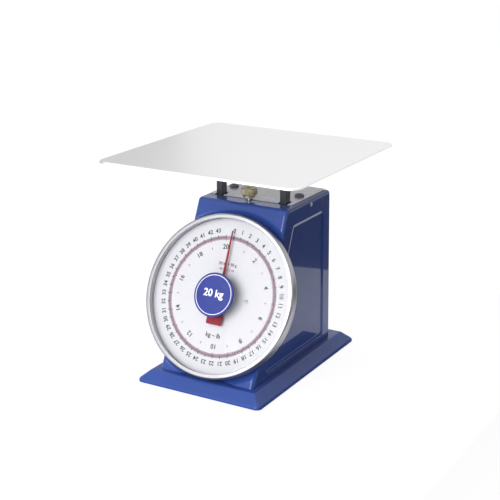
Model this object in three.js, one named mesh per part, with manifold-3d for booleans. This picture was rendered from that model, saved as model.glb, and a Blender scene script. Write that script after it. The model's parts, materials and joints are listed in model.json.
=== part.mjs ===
// Mechanical dial platform scale, 20 kg / 44 lb: a spring scale with a leaning round dial.
// Millimetres. +X is the scale's right seen from the front, +Y is the back, +Z is up.
// The origin is on the floor under the middle of the pan.
import * as THREE from 'three';
import { mergeVertices } from 'three/addons/utils/BufferGeometryUtils.js';
import Module from 'manifold-3d';

const wasm = await Module();
wasm.setup();

// ---------------------------------------------------------------- driving dimensions

const SHEET = 1.5;                    // pressed steel of the housing and the base
const GAP = 0.3;                      // air left between pieces that sit on each other

const FOOT_R = 8;
const FOOT_X = 66;
const FOOT_Y = 106;

const BASE_HALF_X = 90;
const BASE_FRONT = -134.5;
const BASE_BACK = 132.5;
const BASE_CORNER_R = 7;
const BASE_HEM_Z = 2.5;
const BASE_SHOULDER_Z = 6;
const BASE_TOP_Z = 17.5;
const BASE_SLOPE_RUN = 14;            // how far the sloped skirt runs in, front, back and sides

const LEAN = THREE.MathUtils.degToRad(24);
const HOUSING_HALF_X = 68.5;          // at the bottom; the sides draw in towards the top
const HOUSING_TOP_HALF_X = 66;
const HOUSING_FRONT = -112.5;
const HOUSING_BACK = 99;
const HOUSING_TOP_Z = 224.2;
const HOUSING_EDGE_R = 4;
const HOUSING_CORNER_R = 5;
const TOP_COVER_Z = HOUSING_TOP_Z + 1.2;

const DIAL_UP_FACE = 105;             // dial centre, measured up the leaning face
const DISH_R = 112.5;
const DISH_FLOOR_R = 104.5;
const DISH_DEPTH = 5;

const PAN_HALF = 140;
const PAN_CORNER_R = 15;
const PAN_TOP_Z = 287.3;
const PAN_SHEET = 1.2;
const PAN_RIM = 2.4;

const SPRING_PLANE_Y = -3;            // springs, zero screw and damper share this plane
const SPRING_X = 20;
const SPRING_R = 4.9;
const SPRING_WIRE_R = 0.9;
const SPRING_TURNS = 10;

const POST_X = 47;
const POST_PLANE_Y = 7;
const POST_WIDTH = 9;
const POST_DEPTH = 12;
const POST_Y = [POST_PLANE_Y - POST_DEPTH / 2, POST_PLANE_Y + POST_DEPTH / 2];
const SPIDER_TOP_Z = PAN_TOP_Z - PAN_SHEET;
const SPIDER_THICK = 7;

const MODULE = 0.5;
const PINION_TEETH = 14;
const PINION_R = MODULE * PINION_TEETH / 2;
const RACK_LEVEL = -30.5;             // rack and pinion, measured out from the leaning face
const FULL_TURN = THREE.MathUtils.degToRad(352.727);
const LOAD_TRAVEL = FULL_TURN * PINION_R * Math.cos(LEAN);

const CHASSIS_X = 31.5;
const CHASSIS_FRONT = 28;
const CHASSIS_BACK = 84;
const CHASSIS_TOP_Z = 206;
const CHASSIS_THICK = 3;

const ARM_PIVOT_Y = 75;
const LINK_PIN_Y = 30;
const LOWER_LINK_Z = 84;
const UPPER_LINK_Z = 165;
const ARM_LENGTH = Math.hypot(ARM_PIVOT_Y - LINK_PIN_Y, LOAD_TRAVEL / 2);
const ARM_REST_ANGLE = Math.atan2(LOAD_TRAVEL / 2, ARM_PIVOT_Y - LINK_PIN_Y);
const GUIDE_PIN_R = 2.5;
const GUIDE_PIN_HALF = 34;
const LINK_PIN_R = 2;
const PIN_BORE_PLAY = 0.12;

// ---------------------------------------------------------------- materials

function finish(hex, roughness, metalness) {
  return { color: hex, roughness, metalness };
}

const BLUE_PAINT = finish(0x2347a0, 0.25, 0.1);
const STEEL = finish(0x9a9da2, 0.4, 1);
const STAINLESS = finish(0xe4e4e8, 0.25, 1);
const CHROME = finish(0xd8dadd, 0.1, 1);
const BRASS = finish(0xb5984f, 0.35, 1);
const BLACK_PAINT = finish(0x14181c, 0.45, 0.2);
const RUBBER = finish(0x1c1c1e, 0.8, 0);
const WHITE_ENAMEL = finish(0xf6f4f8, 0.4, 0);
const LENS_PLASTIC = finish(0xf4f6fa, 0.05, 0);
const BADGE_BLUE = finish(0x33459a, 0.35, 0);
const POINTER_RED = finish(0xb41e2c, 0.4, 0);
const GREY_ENAMEL = finish(0xb4b4bc, 0.35, 0.2);
const GREY_PLASTIC = finish(0x77787e, 0.5, 0);

// ---------------------------------------------------------------- geometry helpers

function toSolid(geometry) {
  const bare = geometry.clone();
  bare.deleteAttribute('normal');
  bare.deleteAttribute('uv');
  const merged = mergeVertices(bare);
  return new wasm.Manifold(new wasm.Mesh({
    numProp: 3,
    vertProperties: Float32Array.from(merged.attributes.position.array),
    triVerts: Uint32Array.from(merged.index.array),
  }));
}

function toGeometry(solid) {
  const mesh = solid.getMesh();
  const geometry = new THREE.BufferGeometry();
  geometry.setAttribute('position', new THREE.BufferAttribute(mesh.vertProperties, 3));
  geometry.setIndex(new THREE.BufferAttribute(mesh.triVerts, 1));
  return geometry;
}

function join(first, ...others) {
  return toGeometry(others.reduce((sum, other) => sum.add(toSolid(other)), toSolid(first)));
}

function cut(first, ...others) {
  return toGeometry(others.reduce((rest, other) => rest.subtract(toSolid(other)), toSolid(first)));
}

function block(x0, x1, y0, y1, z0, z1) {
  const box = new THREE.BoxGeometry(x1 - x0, y1 - y0, z1 - z0);
  return box.translate((x0 + x1) / 2, (y0 + y1) / 2, (z0 + z1) / 2);
}

function rodZ(radius, z0, z1, x = 0, y = 0, sides = 12) {
  const rod = new THREE.CylinderGeometry(radius, radius, z1 - z0, sides);
  return rod.rotateX(Math.PI / 2).translate(x, y, (z0 + z1) / 2);
}

function rodX(radius, x0, x1, y, z, sides = 12) {
  const rod = new THREE.CylinderGeometry(radius, radius, x1 - x0, sides);
  return rod.rotateZ(Math.PI / 2).translate((x0 + x1) / 2, y, z);
}

function rodY(radius, y0, y1, x, z, sides = 12) {
  const rod = new THREE.CylinderGeometry(radius, radius, y1 - y0, sides);
  return rod.translate(x, (y0 + y1) / 2, z);
}

// Turns [radius, z] points about Z. A profile clear of the axis is closed on itself.
function revolve(profile, segments) {
  const points = profile.map(([radius, z]) => new THREE.Vector2(radius, z));
  if (profile[0][0] > 0) points.push(points[0].clone());
  return new THREE.LatheGeometry(points, segments).rotateX(Math.PI / 2);
}

function roundedRect(x0, x1, y0, y1, radius) {
  const shape = new THREE.Shape();
  shape.moveTo(x0 + radius, y0);
  shape.lineTo(x1 - radius, y0);
  shape.absarc(x1 - radius, y0 + radius, radius, -Math.PI / 2, 0);
  shape.lineTo(x1, y1 - radius);
  shape.absarc(x1 - radius, y1 - radius, radius, 0, Math.PI / 2);
  shape.lineTo(x0 + radius, y1);
  shape.absarc(x0 + radius, y1 - radius, radius, Math.PI / 2, Math.PI);
  shape.lineTo(x0, y0 + radius);
  shape.absarc(x0 + radius, y0 + radius, radius, Math.PI, Math.PI * 1.5);
  return shape;
}

function plate(shape, z0, z1, curveSegments = 4) {
  const options = { depth: z1 - z0, bevelEnabled: false, curveSegments };
  return new THREE.ExtrudeGeometry(shape, options).translate(0, 0, z0);
}

// A stack of rounded rectangles, one per level {z, inset}, closed at both ends.
function stackedRects(levels, halfX, y0, y1, cornerR) {
  const outlines = levels.map(({ z, inset }) => {
    const rect = roundedRect(
      -halfX + inset, halfX - inset, y0 + inset, y1 - inset, Math.max(cornerR - inset, 2));
    const points = rect.extractPoints(5).shape;
    if (points[0].distanceTo(points[points.length - 1]) < 1e-6) points.pop();
    return points.map((point) => [point.x, point.y, z]);
  });
  const count = outlines[0].length;
  const position = outlines.flat(2);
  const index = [];
  for (let level = 0; level < levels.length - 1; level += 1) {
    for (let i = 0; i < count; i += 1) {
      const a = level * count + i;
      const b = level * count + (i + 1) % count;
      index.push(a, b, b + count, a, b + count, a + count);
    }
  }
  const last = (levels.length - 1) * count;
  for (let i = 1; i < count - 1; i += 1) {
    index.push(0, i + 1, i);
    index.push(last, last + i, last + i + 1);
  }
  const geometry = new THREE.BufferGeometry();
  geometry.setAttribute('position', new THREE.Float32BufferAttribute(position, 3));
  geometry.setIndex(index);
  return geometry;
}

const scale = new THREE.Group();

function piece(name, geometry, look, parent = scale) {
  const mesh = new THREE.Mesh(geometry, new THREE.MeshStandardMaterial(look));
  mesh.name = name;
  parent.add(mesh);
}

// ---------------------------------------------------------------- the leaning face

function faceY(z) {
  return HOUSING_FRONT + (z - BASE_TOP_Z) * Math.tan(LEAN);
}

// Dial pieces are built in this frame: x to the right, y up the face, z out of the face.
const dial = new THREE.Group();
dial.position.set(
  0,
  HOUSING_FRONT + DIAL_UP_FACE * Math.sin(LEAN),
  BASE_TOP_Z + DIAL_UP_FACE * Math.cos(LEAN),
);
dial.rotation.x = Math.PI / 2 - LEAN;
dial.updateMatrix();
scale.add(dial);

function fromDial(geometry) {
  return geometry.applyMatrix4(dial.matrix);
}

// ---------------------------------------------------------------- base

function baseTray() {
  const outer = stackedRects([
    { z: BASE_HEM_Z, inset: 0 },
    { z: BASE_SHOULDER_Z, inset: 0 },
    { z: BASE_TOP_Z - 1, inset: BASE_SLOPE_RUN - 1 },
    { z: BASE_TOP_Z, inset: BASE_SLOPE_RUN + 1 },
  ], BASE_HALF_X, BASE_FRONT, BASE_BACK, BASE_CORNER_R);
  const hollow = stackedRects([
    { z: BASE_HEM_Z - 5, inset: SHEET },
    { z: BASE_SHOULDER_Z - SHEET / 2, inset: SHEET },
    { z: BASE_TOP_Z - SHEET, inset: BASE_SLOPE_RUN + SHEET },
  ], BASE_HALF_X, BASE_FRONT, BASE_BACK, BASE_CORNER_R);
  return cut(outer, hollow);
}

piece('base_tray', baseTray(), BLUE_PAINT);

const FOOT_PLACES = {
  foot_front_left: [-FOOT_X, -FOOT_Y],
  foot_front_right: [FOOT_X, -FOOT_Y],
  foot_rear_left: [-FOOT_X, FOOT_Y],
  foot_rear_right: [FOOT_X, FOOT_Y],
};
for (const [name, [x, y]] of Object.entries(FOOT_PLACES)) {
  piece(name, rodZ(FOOT_R, 0, BASE_TOP_Z - SHEET, x, y, 20), RUBBER);
}

// ---------------------------------------------------------------- housing

// The housing's side outline in (y, z), drawn in from the outer skin by inset.
function sideOutline(inset, bottomZ) {
  const lean = inset / Math.cos(LEAN);
  const top = HOUSING_TOP_Z - inset;
  const back = HOUSING_BACK - inset;
  const radius = Math.max(HOUSING_CORNER_R - inset, 1);
  const frontTop = faceY(top) + lean;
  const setback = radius * Math.tan((Math.PI / 2 - LEAN) / 2);
  const shape = new THREE.Shape();
  shape.moveTo(faceY(bottomZ) + lean, bottomZ);
  shape.lineTo(back, bottomZ);
  shape.lineTo(back, top - radius);
  shape.absarc(back - radius, top - radius, radius, 0, Math.PI / 2);
  shape.lineTo(frontTop + setback, top);
  shape.absarc(frontTop + setback, top - radius, radius, Math.PI / 2, Math.PI - LEAN);
  return shape;
}

// Extrudes a (y, z) outline along X, centred, with rounded edges, then draws the sides in.
function sidewaysSolid(shape, halfX, edgeR) {
  const geometry = new THREE.ExtrudeGeometry(shape, {
    depth: 2 * (halfX - edgeR),
    bevelEnabled: edgeR > 0,
    bevelThickness: edgeR,
    bevelSize: edgeR,
    bevelOffset: -edgeR,
    bevelSegments: 2,
    curveSegments: 3,
  });
  geometry.translate(0, 0, -(halfX - edgeR));
  const sideways = new THREE.Matrix4().makeBasis(
    new THREE.Vector3(0, 1, 0), new THREE.Vector3(0, 0, 1), new THREE.Vector3(1, 0, 0));
  return drawnIn(geometry.applyMatrix4(sideways));
}

function drawnIn(geometry) {
  const slope = (1 - HOUSING_TOP_HALF_X / HOUSING_HALF_X) / (HOUSING_TOP_Z - BASE_TOP_Z);
  const position = geometry.attributes.position;
  for (let i = 0; i < position.count; i += 1) {
    const factor = 1 - slope * (position.getZ(i) - BASE_TOP_Z);
    position.setX(i, position.getX(i) * factor);
  }
  return geometry;
}

function dish(grow) {
  return fromDial(revolve([
    [0, -DISH_DEPTH - grow],
    [DISH_FLOOR_R + grow, -DISH_DEPTH - grow],
    [DISH_R + grow, 0],
    [DISH_R + grow, 20],
    [0, 20],
  ], 48));
}

const PANEL_TOP_Z = 201.5;
const PANEL_BOTTOM_Z = 25;
const PANEL_BACK = 78.5;
const PANEL_FRONT_INSET = 25;
const PANEL_DEPTH = 1.5;

// The shallow panel pressed into a side, as the solid that is taken off it.
function sidePanel(side, grow) {
  const shape = new THREE.Shape();
  shape.moveTo(faceY(PANEL_BOTTOM_Z) + PANEL_FRONT_INSET - grow, PANEL_BOTTOM_Z - grow);
  shape.lineTo(PANEL_BACK + grow, PANEL_BOTTOM_Z - grow);
  shape.lineTo(PANEL_BACK + grow, PANEL_TOP_Z + grow);
  shape.lineTo(faceY(PANEL_TOP_Z) + PANEL_FRONT_INSET - grow, PANEL_TOP_Z + grow);
  const outer = HOUSING_HALF_X + 10;
  const inner = HOUSING_HALF_X - PANEL_DEPTH - grow;
  const panel = plate(shape, side > 0 ? inner : -outer, side > 0 ? outer : -inner);
  const sideways = new THREE.Matrix4().makeBasis(
    new THREE.Vector3(0, 1, 0), new THREE.Vector3(0, 0, 1), new THREE.Vector3(1, 0, 0));
  return drawnIn(panel.applyMatrix4(sideways));
}

const COVER_THICK = 1.2;
const COVER_SCREW_X = 60;
const COVER_SCREW_Z = [30, 208];
const SIDE_SCREW_Y = 42;
const SIDE_SCREW_Z = 217;
const SIDE_SCREW_SEAT_X = 66.2;       // just clear of the drawn-in side at that height
const PLUG_X = 49;
const PLUG_Y = 42;
const PLUG_R = 6.5;
const SCREW_SHANK_R = 1.5;
const SCREW_HOLE_R = 1.7;
const POST_CLEARANCE = 2;
const ZERO_WAY_R = 4.5;
const ARBOR_WAY_R = 14;
const REACH = 9;                      // how far cutters pass a sheet on either side
const BACK_WINDOW = { halfX: 54, z0: 36, z1: 202 };
const BACK_COVER = { halfX: 64, z0: 22, z1: 216 };

function pressed(skin, grow) {
  return cut(skin, dish(grow), sidePanel(1, grow), sidePanel(-1, grow));
}

// The two post openings and the round hole for the zero screw.
function topOpenings() {
  const z = [HOUSING_TOP_Z - REACH, HOUSING_TOP_Z + REACH];
  const halfX = POST_WIDTH / 2 + POST_CLEARANCE;
  const y = [POST_Y[0] - POST_CLEARANCE, POST_Y[1] + POST_CLEARANCE];
  const holes = [-POST_X, POST_X].map((x) => block(x - halfX, x + halfX, ...y, ...z));
  return [...holes, rodZ(ZERO_WAY_R, ...z, 0, SPRING_PLANE_Y, 20)];
}

function coverScrewHoles() {
  return [-COVER_SCREW_X, COVER_SCREW_X].flatMap((x) => COVER_SCREW_Z.map(
    (z) => rodY(SCREW_HOLE_R, HOUSING_BACK - REACH, HOUSING_BACK + REACH, x, z)));
}

function housingShell() {
  const below = block(-200, 200, -200, 200, -60, BASE_TOP_Z);
  const skin = pressed(sidewaysSolid(sideOutline(0, 0), HOUSING_HALF_X, HOUSING_EDGE_R), 0);
  const hollow = pressed(sidewaysSolid(
    sideOutline(SHEET, -5), HOUSING_HALF_X - SHEET, HOUSING_EDGE_R - SHEET), SHEET);
  const sideHoles = [-SIDE_SCREW_SEAT_X, SIDE_SCREW_SEAT_X].map(
    (x) => rodX(SCREW_HOLE_R, x - REACH, x + REACH, SIDE_SCREW_Y, SIDE_SCREW_Z));
  const { halfX, z0, z1 } = BACK_WINDOW;
  const holes = [
    ...topOpenings(),
    ...coverScrewHoles(),
    ...sideHoles,
    block(-halfX, halfX, HOUSING_BACK - REACH, HOUSING_BACK + REACH, z0, z1),
    fromDial(rodZ(ARBOR_WAY_R, -DISH_DEPTH - REACH, 0, 0, 0, 20)),
  ];
  return cut(cut(skin, hollow, below), ...holes);
}

piece('housing_shell', housingShell(), BLUE_PAINT);

function backCover() {
  const { halfX, z0, z1 } = BACK_COVER;
  const sheet = block(-halfX, halfX, HOUSING_BACK, HOUSING_BACK + COVER_THICK, z0, z1);
  return cut(sheet, ...coverScrewHoles());
}

piece('back_cover', backCover(), BLUE_PAINT);

const SHANK_LENGTH = 6;
const COVER_HEAD = { radius: 3.2, height: 1.6 };
const SIDE_HEAD = { radius: 2.7, height: 1.4 };

function coverScrew(x, z) {
  const face = HOUSING_BACK + COVER_THICK;
  const head = rodY(COVER_HEAD.radius, face, face + COVER_HEAD.height, x, z, 12);
  return join(head, rodY(SCREW_SHANK_R, face - SHANK_LENGTH, face + 1, x, z, 8));
}

COVER_SCREW_Z.forEach((z, row) => {
  piece(`cover_screw_${row ? 'upper' : 'lower'}_left`, coverScrew(-COVER_SCREW_X, z), STEEL);
  piece(`cover_screw_${row ? 'upper' : 'lower'}_right`, coverScrew(COVER_SCREW_X, z), STEEL);
});

function sideScrew(side) {
  const reach = (x0, x1) => [side * x0, side * x1].sort((a, b) => a - b);
  const seat = SIDE_SCREW_SEAT_X;
  const place = [SIDE_SCREW_Y, SIDE_SCREW_Z];
  const head = rodX(SIDE_HEAD.radius, ...reach(seat, seat + SIDE_HEAD.height), ...place, 12);
  return join(head, rodX(SCREW_SHANK_R, ...reach(seat - SHANK_LENGTH, seat + 1), ...place, 8));
}

piece('side_screw_left', sideScrew(-1), STEEL);
piece('side_screw_right', sideScrew(1), STEEL);

const TOP_COVER = { halfX: 61, y0: 1, y1: 94, cornerR: 4 };

// The pale plate on top; the posts pass through it and its front edge clears the zero screw.
function topCover() {
  const { halfX, y0, y1, cornerR } = TOP_COVER;
  const shape = roundedRect(-halfX, halfX, y0, y1, cornerR);
  return cut(plate(shape, HOUSING_TOP_Z, TOP_COVER_Z, 3), ...topOpenings());
}

piece('top_cover', topCover(), GREY_ENAMEL);

for (const [name, x] of [['top_plug_left', -PLUG_X], ['top_plug_right', PLUG_X]]) {
  piece(name, rodZ(PLUG_R, TOP_COVER_Z, TOP_COVER_Z + 3, x, PLUG_Y, 20), GREY_PLASTIC);
}

// ---------------------------------------------------------------- chassis and zero adjuster

const GUIDE_PIVOTS = {
  upper: UPPER_LINK_Z - LOAD_TRAVEL / 2,
  lower: LOWER_LINK_Z - LOAD_TRAVEL / 2,
};
const CHASSIS_TOP_FRONT = -11;        // the top plate reaches forward over the springs
const CHASSIS_FOOT_WIDTH = 13;
const ZERO_SCREW_R = 3;
const ZERO_SCREW_BOTTOM_Z = 182;
const HANGER_Z = [190, 195];
const HANGER_HALF_X = 26;
const HANGER_HALF_Y = 5;
const KNOB_Z = [229, 241];
const KNOB_R = 10.5;
const KNOB_FLUTE_DEPTH = 0.7;

function chassisFrame() {
  const inner = CHASSIS_X - CHASSIS_THICK;
  const solids = [block(
    -CHASSIS_X, CHASSIS_X, CHASSIS_TOP_FRONT, CHASSIS_BACK,
    CHASSIS_TOP_Z - CHASSIS_THICK, CHASSIS_TOP_Z)];
  for (const side of [-1, 1]) {
    const leg = [side * inner, side * CHASSIS_X].sort((a, b) => a - b);
    const foot = [side * inner, side * (CHASSIS_X + CHASSIS_FOOT_WIDTH)].sort((a, b) => a - b);
    solids.push(block(...leg, CHASSIS_FRONT, CHASSIS_BACK, BASE_TOP_Z, CHASSIS_TOP_Z));
    solids.push(block(
      ...foot, CHASSIS_FRONT, CHASSIS_BACK, BASE_TOP_Z, BASE_TOP_Z + CHASSIS_THICK));
  }
  const bores = Object.values(GUIDE_PIVOTS).map(
    (z) => rodX(GUIDE_PIN_R + PIN_BORE_PLAY, -GUIDE_PIN_HALF, GUIDE_PIN_HALF, ARM_PIVOT_Y, z, 24));
  bores.push(rodZ(
    ZERO_SCREW_R + GAP, CHASSIS_TOP_Z - REACH, CHASSIS_TOP_Z + REACH, 0, SPRING_PLANE_Y, 16));
  return cut(join(...solids), ...bores);
}

piece('chassis_frame', chassisFrame(), BLACK_PAINT);

for (const [name, z] of Object.entries(GUIDE_PIVOTS)) {
  piece(`${name}_guide_pin`, rodX(
    GUIDE_PIN_R, -GUIDE_PIN_HALF, GUIDE_PIN_HALF, ARM_PIVOT_Y, z, 16), STEEL);
}

function springHanger() {
  const y = [SPRING_PLANE_Y - HANGER_HALF_Y, SPRING_PLANE_Y + HANGER_HALF_Y];
  const bore = rodZ(
    ZERO_SCREW_R + 0.2, HANGER_Z[0] - REACH, HANGER_Z[1] + REACH, 0, SPRING_PLANE_Y, 16);
  return cut(block(-HANGER_HALF_X, HANGER_HALF_X, ...y, ...HANGER_Z), bore);
}

piece('spring_hanger', springHanger(), STEEL);
piece('zero_screw', rodZ(
  ZERO_SCREW_R, ZERO_SCREW_BOTTOM_Z, KNOB_Z[0], 0, SPRING_PLANE_Y, 12), STEEL);

function zeroKnob() {
  const flutes = 18;
  const outline = new THREE.Shape();
  for (let i = 0; i < flutes * 2; i += 1) {
    const radius = i % 2 ? KNOB_R : KNOB_R - KNOB_FLUTE_DEPTH;
    const angle = i * Math.PI / flutes;
    const point = [radius * Math.cos(angle), radius * Math.sin(angle)];
    if (i) outline.lineTo(...point);
    else outline.moveTo(...point);
  }
  return plate(outline, ...KNOB_Z).translate(0, SPRING_PLANE_Y, 0);
}

piece('zero_knob', zeroKnob(), BRASS);

// ---------------------------------------------------------------- springs

const CROSSBAR_Z = [LOWER_LINK_Z - 4, LOWER_LINK_Z + 4];

class Coil extends THREE.Curve {
  constructor(z0, z1) {
    super();
    this.z0 = z0;
    this.z1 = z1;
  }

  getPoint(t, target = new THREE.Vector3()) {
    const angle = t * SPRING_TURNS * Math.PI * 2;
    return target.set(
      SPRING_R * Math.cos(angle), SPRING_R * Math.sin(angle), this.z0 + (this.z1 - this.z0) * t);
  }
}

function mainSpring(x) {
  const section = new THREE.Shape();
  section.absarc(0, 0, SPRING_WIRE_R, 0, Math.PI * 2);
  const reach = GAP + SPRING_WIRE_R;
  const path = new Coil(CROSSBAR_Z[1] + reach, HANGER_Z[0] - reach);
  const options = { steps: SPRING_TURNS * 8, curveSegments: 3, extrudePath: path };
  return new THREE.ExtrudeGeometry(section, options).translate(x, SPRING_PLANE_Y, 0);
}

piece('main_spring_left', mainSpring(-SPRING_X), STEEL);
piece('main_spring_right', mainSpring(SPRING_X), STEEL);

// ---------------------------------------------------------------- damper

const DAMPER_TOP_Z = 54;
const DAMPER_R = 14;
const DAMPER_BORE_R = DAMPER_R - SHEET;
const DAMPER_CAP_TOP_Z = DAMPER_TOP_Z + 3;
const PISTON_Z = [42, 47];
const PISTON_R = DAMPER_BORE_R - 0.6;
const PISTON_ROD_R = 2.5;
const PISTON_ROD_WAY_R = PISTON_ROD_R + 0.4;

function damperPart(profile) {
  return revolve(profile, 24).translate(0, SPRING_PLANE_Y, 0);
}

piece('damper_cylinder', damperPart([
  [0, BASE_TOP_Z], [DAMPER_R, BASE_TOP_Z], [DAMPER_R, DAMPER_TOP_Z],
  [DAMPER_BORE_R, DAMPER_TOP_Z], [DAMPER_BORE_R, BASE_TOP_Z + 2], [0, BASE_TOP_Z + 2],
]), STEEL);
piece('damper_cap', damperPart([
  [PISTON_ROD_WAY_R, DAMPER_TOP_Z], [DAMPER_R, DAMPER_TOP_Z], [DAMPER_R, DAMPER_CAP_TOP_Z],
  [PISTON_ROD_WAY_R, DAMPER_CAP_TOP_Z],
]), BRASS);
piece('damper_piston', damperPart([
  [0, PISTON_Z[0]], [PISTON_R, PISTON_Z[0]], [PISTON_R, PISTON_Z[1]],
  [PISTON_ROD_R, PISTON_Z[1]], [PISTON_ROD_R, CROSSBAR_Z[0]], [0, CROSSBAR_Z[0]],
]), STEEL);

// ---------------------------------------------------------------- load carrier

const BAR_X = POST_X + POST_WIDTH / 2;
const LOWER_BAR_FRONT = SPRING_PLANE_Y - 6;
const EYE_HALF = 4;
const LINK_PIN_HALF = 9;

// A crossbar with two ears behind it that hold a link pin.
function eyedBar(bar, z) {
  const ears = [-1, 1].map((side) => {
    const [x0, x1] = [side * (EYE_HALF + 0.6), side * (EYE_HALF + 3.6)].sort((a, b) => a - b);
    return block(x0, x1, POST_Y[1], LINK_PIN_Y + 5, z - 4, z + 4);
  });
  const bore = rodX(
    LINK_PIN_R + PIN_BORE_PLAY, -LINK_PIN_HALF, LINK_PIN_HALF, LINK_PIN_Y, z, 24);
  return cut(join(bar, ...ears), bore);
}

piece('lower_crossbar', eyedBar(
  block(-BAR_X, BAR_X, LOWER_BAR_FRONT, POST_Y[1], ...CROSSBAR_Z), LOWER_LINK_Z), BLACK_PAINT);
piece('upper_crossbar', eyedBar(
  block(-BAR_X, BAR_X, POST_Y[1], POST_Y[1] + 3, UPPER_LINK_Z - 5, UPPER_LINK_Z + 5),
  UPPER_LINK_Z), BLACK_PAINT);
for (const [name, z] of [['upper_link_pin', UPPER_LINK_Z], ['lower_link_pin', LOWER_LINK_Z]]) {
  piece(name, rodX(LINK_PIN_R, -LINK_PIN_HALF, LINK_PIN_HALF, LINK_PIN_Y, z, 16), STEEL);
}

for (const [name, side] of [['post_left', -1], ['post_right', 1]]) {
  const x = side * POST_X;
  piece(name, block(
    x - POST_WIDTH / 2, x + POST_WIDTH / 2, ...POST_Y, CROSSBAR_Z[1], SPIDER_TOP_Z - SPIDER_THICK,
  ), BLACK_PAINT);
}

const SPIDER_BAR_HALF_X = 7;
const SPIDER_REACH = 85;
const SPIDER_BRIDGE_HALF_Y = 5;
const SPIDER_BRIDGES_Y = [-70, POST_PLANE_Y, 70];

function panSpider() {
  const z = [SPIDER_TOP_Z - SPIDER_THICK, SPIDER_TOP_Z];
  const bars = [-POST_X, POST_X].map((x) => block(
    x - SPIDER_BAR_HALF_X, x + SPIDER_BAR_HALF_X, -SPIDER_REACH, SPIDER_REACH, ...z));
  const bridges = SPIDER_BRIDGES_Y.map((y) => block(
    -POST_X, POST_X, y - SPIDER_BRIDGE_HALF_Y, y + SPIDER_BRIDGE_HALF_Y, ...z));
  return join(...bars, ...bridges);
}

piece('pan_spider', panSpider(), BLACK_PAINT);

// ---------------------------------------------------------------- parallel guide arms

const ARM_TUBE_R = 5;
const ARM_TUBE_HALF = 25;
const ARM_EYE_R = 5.5;
const ARM_HALF_THICK = 2.5;
const SLOT_HALF = 1.2;                // the front eye is a short slot, so that the arm can swing

function guideArm(pivotZ) {
  const solids = join(
    rodX(ARM_TUBE_R, -ARM_TUBE_HALF, ARM_TUBE_HALF, 0, 0, 20),
    block(-EYE_HALF, EYE_HALF, -ARM_LENGTH, 0, -ARM_HALF_THICK, ARM_HALF_THICK),
    rodX(ARM_EYE_R, -EYE_HALF, EYE_HALF, -ARM_LENGTH, 0, 20),
  );
  const slotR = LINK_PIN_R + GAP;
  const arm = cut(
    solids,
    rodX(GUIDE_PIN_R + PIN_BORE_PLAY, -GUIDE_PIN_HALF, GUIDE_PIN_HALF, 0, 0, 24),
    rodX(slotR, -20, 20, -ARM_LENGTH - SLOT_HALF, 0, 24),
    rodX(slotR, -20, 20, -ARM_LENGTH + SLOT_HALF, 0, 24),
    block(-20, 20, -ARM_LENGTH - SLOT_HALF, -ARM_LENGTH + SLOT_HALF, -slotR, slotR),
  );
  return arm.rotateX(-ARM_REST_ANGLE).translate(0, ARM_PIVOT_Y, pivotZ);
}

piece('upper_guide_arm', guideArm(GUIDE_PIVOTS.upper), STEEL);
piece('lower_guide_arm', guideArm(GUIDE_PIVOTS.lower), STEEL);

// ---------------------------------------------------------------- pan

function panTray() {
  const square = (half, radius) => roundedRect(-half, half, -half, half, radius);
  const outer = plate(square(PAN_HALF, PAN_CORNER_R), PAN_TOP_Z - PAN_RIM, PAN_TOP_Z, 6);
  const under = plate(
    square(PAN_HALF - PAN_SHEET, PAN_CORNER_R - PAN_SHEET),
    PAN_TOP_Z - PAN_RIM - 5, PAN_TOP_Z - PAN_SHEET, 6);
  return cut(outer, under);
}

piece('pan', panTray(), STAINLESS);

// ---------------------------------------------------------------- dial head

const RING_STEPS = 40;
const CASE_R = 102.4;
const LENS_R = 102.1;
const DOME_R = 98;
const DOME_SAG = 9.2;
const DOME_SPHERE_R = (DOME_R ** 2 + DOME_SAG ** 2) / (2 * DOME_SAG);
const LENS_RIM = [12.6, 14.1];
const PLATE_TOP = 4;                  // the printed face, measured out of the leaning face
const DIAL_SCREW_X = 37;
const BADGE_R = 28;
const BADGE_THICK = 1.1;

function domeRise(radius) {
  return Math.sqrt(DOME_SPHERE_R ** 2 - radius ** 2) - (DOME_SPHERE_R - DOME_SAG);
}

// Points of the dome from radius r0 to r1, lifted to stand on a rim at height z.
function domeArc(r0, r1, z, steps) {
  return Array.from({ length: steps + 1 }, (_, i) => {
    const radius = r0 + (r1 - r0) * i / steps;
    return [radius, z + domeRise(radius)];
  });
}

piece('dial_case', revolve([
  [8, -4.6], [CASE_R, -4.6], [CASE_R, 12.2], [CASE_R - 1.2, 12.2], [CASE_R - 1.2, -3.4], [8, -3.4],
], RING_STEPS), WHITE_ENAMEL, dial);

function dialPlate() {
  const disc = revolve([
    [6, 3], [99.6, 3], [99.6, -3.1], [100.8, -3.1], [100.8, 4], [6, 4],
  ], RING_STEPS);
  const holes = [-1, 1].map((side) => rodZ(SCREW_HOLE_R, 0, 8, side * DIAL_SCREW_X, 0));
  return cut(disc, ...holes);
}

piece('dial_plate', dialPlate(), WHITE_ENAMEL, dial);

for (const [name, side] of [['dial_screw_left', -1], ['dial_screw_right', 1]]) {
  const x = side * DIAL_SCREW_X;
  const head = rodZ(2.4, PLATE_TOP + GAP / 2, PLATE_TOP + 1.3, x, 0);
  piece(name, join(head, rodZ(SCREW_SHANK_R - 0.2, -3.1, PLATE_TOP + 1, x, 0, 8)), STEEL, dial);
}

piece('bezel', revolve([
  [103, 4], [105, 4], [105, 14.3], [104.2, 15.3], [103, 15.6], [99.4, 15.6], [98.8, 14.4],
  [103, 14.4],
], RING_STEPS), CHROME, dial);

piece('lens', revolve([
  ...domeArc(0, 96.5, LENS_RIM[0], 4),
  [LENS_R, LENS_RIM[0]], [LENS_R, LENS_RIM[1]],
  ...domeArc(DOME_R, 0, LENS_RIM[1], 4),
], RING_STEPS), LENS_PLASTIC, dial);

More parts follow.
